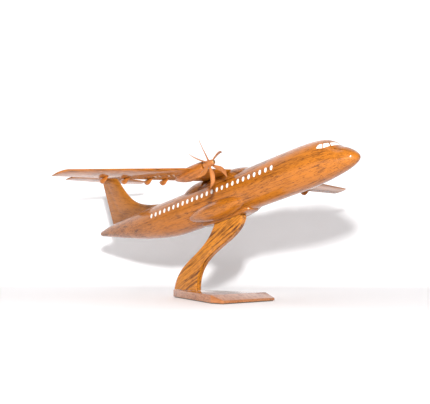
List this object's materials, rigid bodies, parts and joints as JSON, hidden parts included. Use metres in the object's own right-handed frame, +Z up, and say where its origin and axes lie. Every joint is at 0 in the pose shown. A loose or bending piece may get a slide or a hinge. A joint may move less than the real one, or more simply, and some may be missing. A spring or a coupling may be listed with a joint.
{
  "type": "wooden desk model of a twin-turboprop airliner",
  "caption": "Varnished wooden desk model of a high-wing twin-turboprop airliner with a T-tail, standing nose-up on an S-shaped arm and a flat base.",
  "frame": {"origin": "centre of the base plate's underside, on the surface the model stands on", "axes": "+X forward along the base (the nose points up and forward), +Y to the aircraft's port side, +Z up"},
  "size_m": [0.3946, 0.401, 0.1594],
  "materials": {
    "varnished_mahogany": "high-gloss clear lacquer over reddish-brown wood",
    "stand_wood": "gloss lacquer over striped golden-brown wood",
    "dowel_wood": "raw planed hardwood",
    "brass": "turned and lightly polished",
    "steel": "bright plated",
    "green_felt": "pressed wool felt"
  },
  "bodies": {
    "stand": {"base_felt": "green_felt", "base_plate": "stand_wood", "stand_arm": "stand_wood", "stand_screw_1": "steel", "stand_screw_2": "steel", "stand_pin_1": "steel", "stand_pin_2": "steel"},
    "aircraft": {"fuselage": "varnished_mahogany", "wing_plank": "varnished_mahogany", "wing_saddle": "varnished_mahogany", "belly_pad": "varnished_mahogany", "fin": "varnished_mahogany", "tailplane": "varnished_mahogany", "nacelle_left": "varnished_mahogany", "nacelle_right": "varnished_mahogany", "sponson_left": "varnished_mahogany", "sponson_right": "varnished_mahogany", "flap_fairing_left_1": "varnished_mahogany", "flap_fairing_left_2": "varnished_mahogany", "flap_fairing_left_3": "varnished_mahogany", "flap_fairing_left_4": "varnished_mahogany", "propeller_pin_left": "brass", "propeller_washer_left": "brass", "flap_fairing_right_1": "varnished_mahogany", "flap_fairing_right_2": "varnished_mahogany", "flap_fairing_right_3": "varnished_mahogany", "flap_fairing_right_4": "varnished_mahogany", "propeller_pin_right": "brass", "propeller_washer_right": "brass", "tailplane_pin": "steel", "fin_dowel_1": "dowel_wood", "fin_dowel_2": "dowel_wood", "wing_dowel_1": "dowel_wood", "wing_dowel_2": "dowel_wood"},
    "propeller_left": {"propeller_hub_left": "varnished_mahogany", "blade_left_1": "varnished_mahogany", "blade_left_2": "varnished_mahogany", "blade_left_3": "varnished_mahogany", "blade_left_4": "varnished_mahogany", "blade_left_5": "varnished_mahogany", "blade_left_6": "varnished_mahogany"},
    "propeller_right": {"propeller_hub_right": "varnished_mahogany", "blade_right_1": "varnished_mahogany", "blade_right_2": "varnished_mahogany", "blade_right_3": "varnished_mahogany", "blade_right_4": "varnished_mahogany", "blade_right_5": "varnished_mahogany", "blade_right_6": "varnished_mahogany"}
  },
  "joints": [
    {"name": "aircraft_lift", "type": "slide", "parent": "stand", "child": "aircraft", "axis": [-0.2284, 0, 0.9736], "range_m": [0, 0.012]},
    {"name": "propeller_left_spin", "type": "hinge", "parent": "aircraft", "child": "propeller_left", "pos_m": [0.06084, 0.0588, 0.13682], "axis": [0.9736, 0, 0.2284], "continuous": true},
    {"name": "propeller_right_spin", "type": "hinge", "parent": "aircraft", "child": "propeller_right", "pos_m": [0.06084, -0.0588, 0.13682], "axis": [0.9736, 0, 0.2284], "continuous": true}
  ]
}
